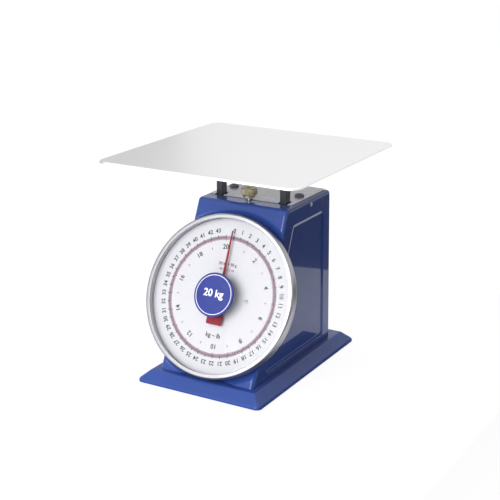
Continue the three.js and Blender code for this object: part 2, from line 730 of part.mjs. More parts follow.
piece('badge', revolve([
  ...domeArc(0, BADGE_R, LENS_RIM[1] + GAP, 3),
  ...domeArc(BADGE_R - 0.6, 0, LENS_RIM[1] + GAP + BADGE_THICK, 3),
], 32), BADGE_BLUE, dial);

// ---------------------------------------------------------------- pointer, arbor and pinion

const ARBOR_R = 1.5;
const ARBOR_BORE = 1.65;
const ARBOR_Z = [-47, 11];
const POINTER_Z = [8.6, 9.4];
const HUB = { radius: 5, z0: 6.4 };
const NUT = { radius: 3.4, z1: 11.4 };

// Half of the pointer's outline, from the tip down to the end of its balancing tail.
const POINTER_HALF = [[0.8, 84], [1.9, 14], [4.3, 4], [4.3, -16], [11, -25], [11, -36.6]];

function pointerBlade() {
  const mirrored = POINTER_HALF.map(([x, y]) => [-x, y]).reverse();
  const corners = [...POINTER_HALF, ...mirrored].map(([x, y]) => new THREE.Vector2(x, y));
  const blade = plate(new THREE.Shape(corners), ...POINTER_Z);
  return cut(blade, rodZ(ARBOR_BORE, 0, 20, 0, 0, 16));
}

function collar(outerR, z0, z1) {
  return revolve([[ARBOR_BORE, z0], [outerR, z0], [outerR, z1], [ARBOR_BORE, z1]], 16);
}

piece('pointer', pointerBlade(), POINTER_RED, dial);
piece('pointer_hub', collar(HUB.radius, HUB.z0, POINTER_Z[0] - GAP), BRASS, dial);
piece('pointer_nut', collar(NUT.radius, POINTER_Z[1] + GAP, NUT.z1), BRASS, dial);
piece('pointer_arbor', rodZ(ARBOR_R, ARBOR_Z[0], ARBOR_Z[1], 0, 0, 12), STEEL, dial);

// One tooth, as [place along the pitch line in pitches, height over it in modules].
const TOOTH = [[-0.3, -1.1], [-0.1, 0.8], [0.1, 0.8], [0.3, -1.1]];

function pinion() {
  const shape = new THREE.Shape();
  for (let tooth = 0; tooth < PINION_TEETH; tooth += 1) {
    TOOTH.forEach(([along, height], corner) => {
      const angle = (tooth + along) * Math.PI * 2 / PINION_TEETH;
      const radius = PINION_R + height * MODULE;
      const point = [radius * Math.cos(angle), radius * Math.sin(angle)];
      if (tooth + corner) shape.lineTo(...point);
      else shape.moveTo(...point);
    });
  }
  const blank = plate(shape, RACK_LEVEL - 2.5, RACK_LEVEL + 2.5);
  return cut(blank, rodZ(ARBOR_BORE, -60, 0, 0, 0, 16));
}

piece('pinion', pinion(), BRASS, dial);

// ---------------------------------------------------------------- rack and its arm

const PITCH = Math.PI * MODULE;
const RACK_TEETH = 20;
const RACK_PIN_UP = 36;
const RACK_PIN_R = 1.5;
const RACK_BACK_X = 7.4;
const BACKLASH = 0.1;

function rack() {
  const line = PINION_R + BACKLASH;
  const shape = new THREE.Shape();
  shape.moveTo(RACK_BACK_X, RACK_PIN_UP + 4);
  shape.lineTo(line + 1.1 * MODULE, RACK_PIN_UP + 4);
  for (let tooth = RACK_TEETH - 4; tooth > -4; tooth -= 1) {
    for (const [along, height] of [...TOOTH].reverse()) {
      shape.lineTo(line - height * MODULE, (tooth - 0.5 + along) * PITCH);
    }
  }
  shape.lineTo(line + 1.1 * MODULE, -4 * PITCH);
  shape.lineTo(RACK_BACK_X, -4 * PITCH);
  const bar = plate(shape, RACK_LEVEL - 2, RACK_LEVEL + 2);
  const pin = rodX(RACK_PIN_R, RACK_BACK_X - 1, 12, RACK_PIN_UP, RACK_LEVEL, 16);
  return join(bar, pin);
}

piece('rack', rack(), STEEL, dial);

const rackPin = new THREE.Vector3(0, RACK_PIN_UP, RACK_LEVEL).applyMatrix4(dial.matrix);
const RACK_ARM_X = [8.4, 10.4];
const RACK_BAR_Y = [4, 8];            // behind the springs

// The rack's pin slides fore and aft in this arm's slot as the load goes down.
function rackArm() {
  const drift = LOAD_TRAVEL * Math.tan(LEAN);
  const slotR = RACK_PIN_R + 0.2;
  const reach = 0.6;
  const y0 = rackPin.y - drift - reach;
  const y1 = rackPin.y + reach;
  return cut(
    block(...RACK_ARM_X, y0 - 6, RACK_BAR_Y[0], rackPin.z - 5, rackPin.z + 5),
    rodX(slotR, 0, 20, y0, rackPin.z, 16),
    rodX(slotR, 0, 20, y1, rackPin.z, 16),
    block(0, 20, y0, y1, rackPin.z - slotR, rackPin.z + slotR),
  );
}

piece('rack_arm', rackArm(), STEEL);
const rackBarHalfX = POST_X - POST_WIDTH / 2;
piece('rack_crossbar', block(
  -rackBarHalfX, rackBarHalfX, ...RACK_BAR_Y, rackPin.z - 6, rackPin.z + 6), BLACK_PAINT);

// ---------------------------------------------------------------- pointer movement's frame

const FRONT_PLATE_Z = [-9, -DISH_DEPTH - SHEET - GAP];
const REAR_PLATE_Z = [-46, -44];
const PLATE_OUTLINE = { x0: -28, x1: 28, y0: -20, y1: 14 };

function bearingPlate(levels) {
  const { x0, x1, y0, y1 } = PLATE_OUTLINE;
  return cut(block(x0, x1, y0, y1, ...levels), rodZ(ARBOR_R + 0.1, -60, 0, 0, 0, 24));
}

piece('front_bearing_plate', bearingPlate(FRONT_PLATE_Z), BRASS, dial);
piece('rear_bearing_plate', bearingPlate(REAR_PLATE_Z), BRASS, dial);

const PILLARS = {
  pillar_upper_left: [-22, 9],
  pillar_upper_right: [22, 9],
  pillar_lower_left: [-22, -15],
  pillar_lower_right: [22, -15],
};
for (const [name, [x, y]] of Object.entries(PILLARS)) {
  piece(name, rodZ(2.5, REAR_PLATE_Z[1] + GAP, FRONT_PLATE_Z[0] - GAP, x, y, 10), BRASS, dial);
}

// Keeps the rack from backing out of mesh; it stands on the rear plate.
piece('rack_keeper', block(
  RACK_BACK_X + 0.3, RACK_BACK_X + 4, -6, 6, REAR_PLATE_Z[1] + GAP, RACK_LEVEL + 2), BRASS, dial);

export default scale;
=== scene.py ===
"""Looks for the mechanical dial platform scale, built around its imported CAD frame. Metres."""
import json
import math

import bmesh
import bpy
from mathutils import Matrix, Vector


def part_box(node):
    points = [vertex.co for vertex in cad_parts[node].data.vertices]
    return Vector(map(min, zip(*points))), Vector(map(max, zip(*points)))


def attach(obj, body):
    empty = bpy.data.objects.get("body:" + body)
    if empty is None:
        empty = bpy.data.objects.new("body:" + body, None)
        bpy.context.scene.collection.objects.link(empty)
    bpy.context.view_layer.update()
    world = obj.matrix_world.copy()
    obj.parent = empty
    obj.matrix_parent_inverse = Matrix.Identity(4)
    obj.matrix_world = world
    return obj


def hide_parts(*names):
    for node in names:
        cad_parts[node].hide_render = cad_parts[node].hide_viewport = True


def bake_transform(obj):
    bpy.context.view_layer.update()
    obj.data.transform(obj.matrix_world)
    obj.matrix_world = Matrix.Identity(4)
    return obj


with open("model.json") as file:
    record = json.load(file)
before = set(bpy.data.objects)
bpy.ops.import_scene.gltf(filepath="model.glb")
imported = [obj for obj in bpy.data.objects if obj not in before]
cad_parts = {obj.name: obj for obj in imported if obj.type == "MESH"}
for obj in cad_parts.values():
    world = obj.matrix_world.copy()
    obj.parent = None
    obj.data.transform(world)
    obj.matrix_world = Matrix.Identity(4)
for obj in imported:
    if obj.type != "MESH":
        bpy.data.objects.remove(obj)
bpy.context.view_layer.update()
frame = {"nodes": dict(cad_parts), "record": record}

MM = 0.001
SHEET = 1.5 * MM        # the housing and the base are pressed from this
MERGE = 1e-6            # points closer than this become one

# ---------------------------------------------------------------- places read from the frame

JOINTS = {joint["name"]: joint for joint in frame["record"]["behaviour"]["joints"]}
SLOT_OF = {part["node"]: part["material_slot"] for part in frame["record"]["subparts"]}


def dial_matrix():
    """The dial's frame: x to the right, y up the leaning face, z out of it, zero at the face plane."""
    spin = JOINTS["pointer_spin"]
    out = -Vector(spin["axis"]).normalized()
    right = Vector((1, 0, 0))
    up = out.cross(right)
    turn = Matrix((right, up, out)).transposed().to_4x4()
    return Matrix.Translation(spin["pos_m"]) @ turn


DIAL = dial_matrix()
LEAN = math.atan2(DIAL.col[1][1], DIAL.col[1][2])

TRAY_LO, TRAY_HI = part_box("base_tray")
SHELL_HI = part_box("housing_shell")[1]
PAN_LO, PAN_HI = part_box("pan")
COVER_LO, COVER_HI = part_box("top_cover")
KNOB_LO, KNOB_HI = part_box("zero_knob")


def middle(node):
    lo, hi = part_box(node)
    return (lo + hi) / 2


# ---------------------------------------------------------------- materials

NOISE_LOW, NOISE_HIGH = 0.3, 0.7        # a noise texture seldom leaves this range


def srgb(red, green, blue):
    """Linear colour of a colour given as 0 to 255 on screen."""
    def linear(value):
        value /= 255
        return value / 12.92 if value <= 0.04045 else ((value + 0.055) / 1.055) ** 2.4
    return (linear(red), linear(green), linear(blue), 1.0)


class Finish:
    """A Principled material whose colour, roughness and bump vary over the surface."""

    def __init__(self, name, colour, roughness, metallic=0.0, **sockets):
        self.material = bpy.data.materials.new(name)
        self.material.use_nodes = True
        self.nodes = self.material.node_tree.nodes
        self.links = self.material.node_tree.links
        self.shader = self.nodes["Principled BSDF"]
        self.colour = colour
        self.shader.inputs["Base Color"].default_value = colour
        self.shader.inputs["Roughness"].default_value = roughness
        self.shader.inputs["Metallic"].default_value = metallic
        for socket, value in sockets.items():
            self.shader.inputs[socket.replace("_", " ")].default_value = value
        self.where = self.nodes.new("ShaderNodeTexCoord").outputs["Object"]
        self.bump = None

    def noise(self, scale, stretch=(1, 1, 1), detail=3.0):
        """A noise value fixed to the object, finer where scale is larger."""
        mapping = self.nodes.new("ShaderNodeMapping")
        mapping.inputs["Scale"].default_value = stretch
        texture = self.nodes.new("ShaderNodeTexNoise")
        texture.inputs["Scale"].default_value = scale
        texture.inputs["Detail"].default_value = detail
        self.links.new(self.where, mapping.inputs["Vector"])
        self.links.new(mapping.outputs["Vector"], texture.inputs["Vector"])
        return texture.outputs["Fac"]

    def spread(self, value, low, high):
        """Maps a noise value, which stays near a half, to low ... high."""
        node = self.nodes.new("ShaderNodeMapRange")
        node.inputs["From Min"].default_value = NOISE_LOW
        node.inputs["From Max"].default_value = NOISE_HIGH
        node.inputs["To Min"].default_value = low
        node.inputs["To Max"].default_value = high
        self.links.new(value, node.inputs["Value"])
        return node.outputs["Result"]

    def rough(self, value, low, high):
        """Lets the roughness run from low to high with the noise."""
        self.links.new(self.spread(value, low, high), self.shader.inputs["Roughness"])

    def mottle(self, value, other):
        """Blends the colour towards another one where the noise is high."""
        mix = self.nodes.new("ShaderNodeMix")
        mix.data_type = "RGBA"
        mix.inputs["A"].default_value = self.colour
        mix.inputs["B"].default_value = other
        self.links.new(self.spread(value, 0.0, 1.0), mix.inputs["Factor"])
        self.links.new(mix.outputs["Result"], self.shader.inputs["Base Color"])

    def relief(self, value, height, strength=1.0):
        """Adds bumps of a height to those that the surface has already."""
        node = self.nodes.new("ShaderNodeBump")
        node.inputs["Strength"].default_value = strength
        node.inputs["Distance"].default_value = height
        self.links.new(value, node.inputs["Height"])
        if self.bump:
            self.links.new(self.bump, node.inputs["Normal"])
        self.bump = node.outputs["Normal"]
        self.links.new(self.bump, self.shader.inputs["Normal"])


def blue_enamel():
    look = Finish(
        "blue enamel", (0.026, 0.064, 0.28, 1), 0.4, Coat_Weight=1.0, Coat_Roughness=0.04,
        Coat_IOR=1.38, Specular_IOR_Level=0.1)
    look.mottle(look.noise(9), (0.03, 0.072, 0.31, 1))
    look.rough(look.noise(60), 0.36, 0.46)
    look.relief(look.noise(420, detail=1.0), 0.02 * MM, 0.25)
    return look.material


def black_enamel():
    look = Finish("black enamel", srgb(16, 24, 34), 0.38, Coat_Weight=0.4, Coat_Roughness=0.15)
    look.mottle(look.noise(40), srgb(24, 32, 42))
    look.rough(look.noise(150), 0.3, 0.5)
    look.relief(look.noise(900), 0.03 * MM, 0.4)
    return look.material


def grey_enamel():
    look = Finish("grey enamel", srgb(176, 176, 186), 0.3, Coat_Weight=0.6, Coat_Roughness=0.08)
    look.mottle(look.noise(14), srgb(188, 188, 198))
    look.rough(look.noise(80), 0.24, 0.38)
    look.relief(look.noise(420, detail=1.0), 0.02 * MM, 0.3)
    return look.material


def stainless_sheet():
    look = Finish("satin stainless", (0.97, 0.97, 0.98, 1), 0.36, 1.0)
    grain = look.noise(2600, stretch=(1, 0.02, 1), detail=2.0)
    look.mottle(look.noise(6), (0.98, 0.98, 0.985, 1))
    look.rough(grain, 0.32, 0.42)
    look.relief(grain, 0.002 * MM, 0.05)
    return look.material


def machined_steel():
    look = Finish("machined steel", (0.5, 0.51, 0.53, 1), 0.35, 1.0)
    grain = look.noise(1400, stretch=(1, 1, 0.05), detail=2.0)
    look.mottle(look.noise(50), (0.38, 0.38, 0.4, 1))
    look.rough(grain, 0.28, 0.45)
    look.relief(grain, 0.02 * MM, 0.2)
    return look.material


def polished_bezel():
    look = Finish("polished bezel", (0.46, 0.46, 0.49, 1), 0.35, 1.0)
    look.mottle(look.noise(30), (0.42, 0.42, 0.46, 1))
    look.rough(look.noise(60), 0.32, 0.4)
    return look.material


def yellow_brass():
    look = Finish("brass", (0.42, 0.38, 0.25, 1), 0.3, 1.0)
    look.mottle(look.noise(160), (0.3, 0.27, 0.18, 1))
    look.rough(look.noise(500), 0.25, 0.45)
    look.relief(look.noise(1500), 0.02 * MM, 0.3)
    return look.material


def foot_rubber():
    look = Finish("foot rubber", (0.018, 0.018, 0.019, 1), 0.8)
    look.mottle(look.noise(200), (0.03, 0.03, 0.032, 1))
    look.relief(look.noise(1800), 0.08 * MM, 0.5)
    return look.material


def white_enamel():
    look = Finish("white dial enamel", (0.66, 0.655, 0.68, 1), 0.45)
    look.mottle(look.noise(25), (0.64, 0.63, 0.66, 1))
    look.rough(look.noise(400), 0.3, 0.42)
    return look.material


def print_ink(name, colour):
    look = Finish(name, colour, 0.5)
    paler = [min(1, channel * 1.3 + 0.01) for channel in colour[:3]]
    look.mottle(look.noise(900), (*paler, 1))
    return look.material


def badge_plastic():
    look = Finish("badge blue", srgb(40, 52, 132), 0.5, Specular_IOR_Level=0.3)
    look.mottle(look.noise(60), srgb(46, 60, 140))
    look.rough(look.noise(500), 0.45, 0.56)
    return look.material


def pointer_paint():
    look = Finish("pointer red", srgb(134, 18, 34), 0.5, Specular_IOR_Level=0.3)
    look.mottle(look.noise(120), srgb(146, 24, 42))
    look.rough(look.noise(600), 0.35, 0.48)
    return look.material


def grey_moulding():
    look = Finish("grey moulding", srgb(92, 92, 100), 0.5)
    look.mottle(look.noise(200), srgb(108, 108, 116))
    look.relief(look.noise(1500), 0.03 * MM, 0.4)
    return look.material


def clear_dome():
    """Clear plastic: it lets the dial through and mirrors a little, most at its steep edge."""
    material = bpy.data.materials.new("clear dome")
    material.use_nodes = True
    nodes = material.node_tree.nodes
    links = material.node_tree.links
    nodes.remove(nodes["Principled BSDF"])
    through = nodes.new("ShaderNodeBsdfTransparent")
    through.inputs["Color"].default_value = (0.985, 0.988, 0.992, 1)
    mirror = nodes.new("ShaderNodeBsdfGlossy")
    mirror.inputs["Roughness"].default_value = 0.04
    fresnel = nodes.new("ShaderNodeFresnel")
    fresnel.inputs["IOR"].default_value = 1.12
    mix = nodes.new("ShaderNodeMixShader")
    links.new(fresnel.outputs["Fac"], mix.inputs["Fac"])
    links.new(through.outputs["BSDF"], mix.inputs[1])
    links.new(mirror.outputs["BSDF"], mix.inputs[2])
    links.new(mix.outputs["Shader"], nodes["Material Output"].inputs["Surface"])
    return material


LOOKS = {
    "blue_paint": blue_enamel(),
    "black_paint": black_enamel(),
    "grey_enamel": grey_enamel(),
    "stainless": stainless_sheet(),
    "steel": machined_steel(),
    "chrome": polished_bezel(),
    "brass": yellow_brass(),
    "rubber": foot_rubber(),
    "dial_white": white_enamel(),
    "badge_blue": badge_plastic(),
    "pointer_red": pointer_paint(),
    "grey_plastic": grey_moulding(),
    "lens_clear": clear_dome(),
}
BLACK_INK = print_ink("black ink", srgb(22, 20, 26))
RED_INK = print_ink("red ink", srgb(150, 60, 78))
BAND_INK = print_ink("band ink", srgb(150, 138, 150))
WHITE_INK = print_ink("white ink", srgb(226, 228, 240))

# ---------------------------------------------------------------- mesh helpers


def bake(obj):
    """Applies the object's modifiers to its mesh."""
    bpy.context.view_layer.update()
    shaped = obj.evaluated_get(bpy.context.evaluated_depsgraph_get())
    mesh = bpy.data.meshes.new_from_object(shaped)
    old = obj.data
    obj.modifiers.clear()
    obj.data = mesh
    bpy.data.meshes.remove(old)
    return obj


def linked(name, data):
    """A new object that holds data and stands in the scene."""
    obj = bpy.data.objects.new(name, data)
    bpy.context.scene.collection.objects.link(obj)
    return obj


def mesh_of(curve, name):
    """The mesh that a curve or a text makes. The curve's own object is removed."""
    holder = linked(name, curve)
    bpy.context.view_layer.update()
    mesh = bpy.data.meshes.new_from_object(
        holder.evaluated_get(bpy.context.evaluated_depsgraph_get()))
    bpy.data.objects.remove(holder)
    return mesh


def solid(name, verts, faces, matrix=None):
    """A mesh object from vertices and faces, merged and facing out."""
    mesh = bpy.data.meshes.new(name)
    mesh.from_pydata([tuple(vert) for vert in verts], [], faces)
    work = bmesh.new()
    work.from_mesh(mesh)
    bmesh.ops.remove_doubles(work, verts=work.verts, dist=MERGE)
    bmesh.ops.dissolve_degenerate(work, edges=work.edges, dist=MERGE / 10)
    bmesh.ops.recalc_face_normals(work, faces=work.faces)
    work.to_mesh(mesh)
    work.free()
    if matrix is not None:
        mesh.transform(matrix)
    return linked(name, mesh)


def finish_piece(obj, slot, body, *nodes, smooth=32):
    """Gives a piece its material and shading and its body, and hides the CAD nodes that it stands for."""
    obj.data.materials.clear()
    obj.data.materials.append(LOOKS[slot])
    obj.data.shade_smooth()
    obj.data.set_sharp_from_angle(angle=math.radians(smooth))
    weigh = obj.modifiers.new("weighted normals", "WEIGHTED_NORMAL")
    weigh.keep_sharp = True
    bake(obj)
    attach(obj, body)
    if nodes:
        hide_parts(*nodes)
    return obj


def remove(obj):
    """Deletes an object, and its mesh if nothing else uses it."""
    mesh = obj.data
    bpy.data.objects.remove(obj)
    if mesh.users == 0:
        bpy.data.meshes.remove(mesh)


def boolean(obj, operation, *others):
    """Joins others to obj or takes them from it, one after another, and deletes them."""
    for other in others:
        step = obj.modifiers.new("boolean", "BOOLEAN")
        step.operation = operation
        step.solver = "MANIFOLD"
        step.object = other
        bake(obj)
        remove(other)
    return obj


def carve(obj, *cutters):
    return boolean(obj, "DIFFERENCE", *cutters)


def soften(obj, width, segments=3, angle=30):
    """Rounds the edges that are sharper than angle."""
    step = obj.modifiers.new("bevel", "BEVEL")
    step.width = width
    step.segments = segments
    step.limit_method = "ANGLE"
    step.angle_limit = math.radians(angle)
    return bake(obj)


def rounded(points, radii, steps=6, closed=True):
    """A 2-D outline with each corner replaced by an arc of its own radius."""
    count = len(points)
    outline = []
    for i, (point, radius) in enumerate(zip(points, radii)):
        here = Vector(point)
        if radius <= 0 or (not closed and i in (0, count - 1)):
            outline.append(here)
            continue
        back = (Vector(points[i - 1]) - here).normalized()
        ahead = (Vector(points[(i + 1) % count]) - here).normalized()
        half = back.angle(ahead) / 2
        setback = radius / math.tan(half)
        centre = here + (back + ahead).normalized() * radius / math.sin(half)
        first = here + back * setback - centre
        last = here + ahead * setback - centre
        sweep = math.atan2(first.x * last.y - first.y * last.x, first.dot(last))
        for step in range(steps + 1):
            turn = Matrix.Rotation(sweep * step / steps, 2)
            outline.append(centre + turn @ first)
    return outline


def revolve(name, profile, steps, matrix=None):
    """Turns (radius, z) points about Z. A profile clear of the axis closes on itself."""
    verts = []
    for step in range(steps):
        turn = 2 * math.pi * step / steps
        verts += [(r * math.cos(turn), r * math.sin(turn), z) for r, z in profile]
    count = len(profile)
    spans = count if profile[0][0] > 0 else count - 1
    faces = []
    for step in range(steps):
        here, there = step * count, (step + 1) % steps * count
        for i in range(spans):
            j = (i + 1) % count
            faces.append((here + i, there + i, there + j, here + j))
    return solid(name, verts, faces, matrix)


def stack(name, rings, matrix=None):
    """Joins rings of equally many points, and closes both ends."""
    count = len(rings[0])
    verts = [point for ring in rings for point in ring]
    faces = []
    for level in range(len(rings) - 1):
        for i in range(count):
            j = (i + 1) % count
            base = level * count
            faces.append((base + i, base + j, base + count + j, base + count + i))
    faces.append(tuple(reversed(range(count))))
    last = (len(rings) - 1) * count
    faces.append(tuple(range(last, last + count)))
    return solid(name, verts, faces, matrix)


def prism(name, outline, z0, z1, matrix=None):
    """An outline drawn out from one height to another."""
    return stack(name, [[(p[0], p[1], z) for p in outline] for z in (z0, z1)], matrix)


def block(name, lo, hi):
    outline = [(lo[0], lo[1]), (hi[0], lo[1]), (hi[0], hi[1]), (lo[0], hi[1])]
    return prism(name, outline, lo[2], hi[2])


def rod(name, radius, start, end, steps=32):
    """A plain round bar from start to end, used as a cutter or as part of a piece."""
    start, end = Vector(start), Vector(end)
    along = end - start
    turn = along.to_track_quat("Z", "Y").to_matrix().to_4x4()
    outline = [
        (radius * math.cos(2 * math.pi * i / steps), radius * math.sin(2 * math.pi * i / steps))
        for i in range(steps)]
    return prism(name, outline, 0, along.length, Matrix.Translation(start) @ turn)


def rect_ring(half_x, y0, y1, radius, inset, z, steps=10):
    """One level of a rounded rectangle drawn in by inset."""
    corners = [
        (-half_x + inset, y0 + inset), (half_x - inset, y0 + inset),
        (half_x - inset, y1 - inset), (-half_x + inset, y1 - inset)]
    radius = max(radius - inset, 1 * MM)
    return [(p.x, p.y, z) for p in rounded(corners, [radius] * 4, steps)]


# ---------------------------------------------------------------- base


BASE_RUN = 14 * MM          # how far the skirt slopes in
BASE_LAND = 20 * MM         # the flat top beyond it, before one face closes the rest
BASE_HEM = 3.2 * MM         # the upright edge under the skirt
BASE_CORNER_R = 7 * MM


def base_tray():
    """The pressed base: hem, rounded shoulder, sloped skirt and flat top, all of one sheet."""
    height = TRAY_HI.z - TRAY_LO.z
    land = BASE_RUN + BASE_LAND
    outer = rounded([(0, 0), (0, BASE_HEM), (BASE_RUN, height), (land, height)],
                    [0, 4 * MM, 3.5 * MM, 0], 8, closed=False)
    inner = rounded([(SHEET, 0), (SHEET, BASE_HEM - 0.4 * MM),
                     (BASE_RUN + SHEET * 0.8, height - SHEET), (land, height - SHEET)],
                    [0, 3 * MM, 3 * MM, 0], 8, closed=False)
    rings = [
        rect_ring(TRAY_HI.x, TRAY_LO.y, TRAY_HI.y, BASE_CORNER_R, inset, TRAY_LO.z + z)
        for inset, z in inner[::-1] + outer]
    tray = stack("base_pressing", rings)
    return finish_piece(tray, "blue_paint", "housing", "base_tray")


def rubber_feet():
    """Four round pads, each with a dimple in its sole."""
    for node in [name for name in SLOT_OF if name.startswith("foot_")]:
        lo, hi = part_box(node)
        radius = (hi.x - lo.x) / 2
        height = hi.z - lo.z
        section = [
            (0, 1.5 * MM), (3.2 * MM, 1.5 * MM), (3.6 * MM, 0), (radius - 0.4 * MM, 0),
            (radius, height), (0, height)]
        profile = rounded(section, [0, 0.3 * MM, 0.5 * MM, 1.2 * MM, 0.4 * MM, 0], 4, closed=False)
        place = Matrix.Translation((middle(node).x, middle(node).y, lo.z))
        foot = revolve(f"{node}_pad", profile, 40, place)
        finish_piece(foot, "rubber", "housing", node)


# ---------------------------------------------------------------- housing

FACE_FOOT = DIAL @ Vector((0, -105 * MM, 0))
FACE_Y0, FACE_Z0 = FACE_FOOT.y, FACE_FOOT.z
HALF_BOTTOM = SHELL_HI.x
HALF_TOP = HALF_BOTTOM * 66 / 68.5              # the sides draw in a little towards the top
TOP_Z = SHELL_HI.z
BACK_Y = SHELL_HI.y
ALONG_X = Matrix(((0, 0, 1, 0), (1, 0, 0, 0), (0, 1, 0, 0), (0, 0, 0, 1)))
ALONG_Y = Matrix(((1, 0, 0, 0), (0, 0, 1, 0), (0, 1, 0, 0), (0, 0, 0, 1)))

THROUGH = 9 * MM            # how far a cutter reaches past a sheet on each side
POST_PLAY = 2 * MM          # room round a post in its opening
ZERO_WAY_R = 4.5 * MM       # the hole that the zero screw passes through
SCREW_HOLE_R = 1.7 * MM
ARBOR_WAY_R = 14 * MM       # the opening behind the dial for the pointer's arbor
REAR_WINDOW_X = 54 * MM     # half the width of the opening under the back cover
REAR_WINDOW_Z = (36 * MM, 202 * MM)


def face_y(z):
    """Where the leaning face is at a height."""
    return FACE_Y0 + (z - FACE_Z0) * math.tan(LEAN)


def draw_in(obj):
    """Narrows a housing solid towards the top, as its sides do."""
    slope = (1 - HALF_TOP / HALF_BOTTOM) / (TOP_Z - FACE_Z0)
    for vert in obj.data.vertices:
        vert.co.x *= 1 - slope * (vert.co.z - FACE_Z0)
    return obj


def housing_blank(name, inset, bottom):
    """A solid as wide as the housing, drawn in by inset, with its edges rounded."""
    lean = inset / math.cos(LEAN)
    top, back, edge = TOP_Z - inset, BACK_Y - inset, 4.5 * MM - inset
    outline = rounded([
        (face_y(bottom) + lean, bottom), (back, bottom), (back, top), (face_y(top) + lean, top),
    ], [0, 0, 5.5 * MM - inset, 5.5 * MM - inset], 8)
    half = HALF_BOTTOM - inset
    blank = prism(name, outline, -half, half, ALONG_X)
    soften(blank, edge, 6, 50)
    return draw_in(blank)


def dish_cutter(grow):
    """What the round dish takes off the leaning face, with its rim and floor rounded."""
    floor, rim, depth = 103.6 * MM + grow, 112.5 * MM + grow, -5 * MM - grow
    skin, outside, clear = -0.02 * MM, rim + 3.2 * MM, 30 * MM
    section = [(0, depth), (floor, depth), (rim, skin), (outside, skin)]
    profile = rounded(section, [0, 5 * MM, 8 * MM, 0], 10, closed=False)
    profile += [Vector((outside, clear)), Vector((0, clear))]
    return revolve("dish_cutter", profile, 256, DIAL)


def side_cutter(side, grow):
    """What the shallow pressed panel takes off a side, sloping in over a few millimetres."""
    z0, z1, back, inset = 25 * MM, 201.5 * MM, 78.5 * MM, 25 * MM
    depth, border, steps = 1.5 * MM, 5 * MM, 8
    clear = HALF_BOTTOM + 12 * MM
    lean_step = 1 / math.cos(LEAN)

    def ring(shrink, x):
        low, high = z0 + shrink, z1 - shrink
        front = inset + shrink * lean_step
        outline = rounded([
            (face_y(low) + front, low), (back - shrink, low), (back - shrink, high),
            (face_y(high) + front, high)], [7 * MM - shrink] * 4, 6)
        return [(side * x, p.x, p.y) for p in outline]

    rings = [ring(-grow, clear)]
    for step in range(steps + 1):
        share = step / steps
        drop = 0.03 * MM + depth * share * share * (3 - 2 * share)
        rings.append(ring(border * share - grow, HALF_BOTTOM - grow - drop))
    return draw_in(stack("side_cutter", rings))


def post_openings(z0, z1):
    """Cutters for the two openings that the posts pass through."""
    cutters = []
    for post in ("post_left", "post_right"):
        lo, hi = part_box(post)
        x0, x1 = lo.x - POST_PLAY, hi.x + POST_PLAY
        y0, y1 = lo.y - POST_PLAY, hi.y + POST_PLAY
        outline = rounded([(x0, y0), (x1, y0), (x1, y1), (x0, y1)], [2.5 * MM] * 4, 5)
        cutters.append(prism("post_opening", outline, z0, z1))
    return cutters


def zero_way(z0, z1, steps=32):
    """A cutter for the hole that the zero screw passes through."""
    y = middle("zero_screw").y
    return rod("screw_way", ZERO_WAY_R, (0, y, z0), (0, y, z1), steps)


SCREW_PLACES = {
    name: middle(name) for name in SLOT_OF if name.startswith(("cover_screw", "side_screw"))}


def screw_hole(node):
    """A cutter for the hole of a back cover screw or a side screw."""
    across = (0, THROUGH, 0) if node.startswith("cover") else (THROUGH, 0, 0)
    place, reach = SCREW_PLACES[node], Vector(across)
    return rod("screw_hole", SCREW_HOLE_R, place - reach, place + reach, 16)


def housing_shell():
    """The folded shell: a blank and a smaller hollow, both shaped by the same pressed features."""
    skin = housing_blank("housing_skin", 0, FACE_Z0 - 25 * MM)
    hollow = housing_blank("housing_hollow", SHEET, FACE_Z0 - 35 * MM)
    carve(skin, dish_cutter(0), side_cutter(1, 0), side_cutter(-1, 0))
    carve(hollow, dish_cutter(SHEET), side_cutter(1, SHEET), side_cutter(-1, SHEET))
    far = 200 * MM
    carve(skin, hollow, block("below", (-far, -far, -far / 2), (far, far, FACE_Z0)))
    low, high = REAR_WINDOW_Z
    holes = post_openings(TOP_Z - THROUGH, TOP_Z + THROUGH)
    holes.append(zero_way(TOP_Z - THROUGH, TOP_Z + THROUGH))
    holes.append(block("window", (-REAR_WINDOW_X, BACK_Y - THROUGH, low), (REAR_WINDOW_X, far, high)))
    holes.append(rod("arbor_way", ARBOR_WAY_R, DIAL @ Vector((0, 0, -20 * MM)), DIAL @ Vector((0, 0, 0))))
    holes += [screw_hole(node) for node in SCREW_PLACES]
    carve(skin, *holes)
    return finish_piece(skin, "blue_paint", "housing", "housing_shell", smooth=25)


def top_cover():
    """The flat grey plate on the housing's top, open for the posts and the zero screw."""
    low, high = COVER_LO.z - MM, COVER_HI.z + MM
    outline = rounded([
        (COVER_LO.x, COVER_LO.y), (COVER_HI.x, COVER_LO.y), (COVER_HI.x, COVER_HI.y),
        (COVER_LO.x, COVER_HI.y)], [4 * MM] * 4, 8)
    cover = prism("top_plate", outline, COVER_LO.z, COVER_HI.z)
    carve(cover, *post_openings(low, high), zero_way(low, high, 48))
    soften(cover, 0.4 * MM, 3)
    return finish_piece(cover, "grey_enamel", "housing", "top_cover")


def back_cover():
    """The flat plate over the rear window, held by a screw at each corner."""
    lo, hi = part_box("back_cover")
    outline = rounded([(lo.x, lo.z), (hi.x, lo.z), (hi.x, hi.z), (lo.x, hi.z)], [5 * MM] * 4, 8)
    cover = prism("rear_cover", outline, lo.y, hi.y, ALONG_Y)
    carve(cover, *[screw_hole(node) for node in SCREW_PLACES if node.startswith("cover")])
    soften(cover, 0.35 * MM, 3)
    return finish_piece(cover, "blue_paint", "housing", "back_cover")


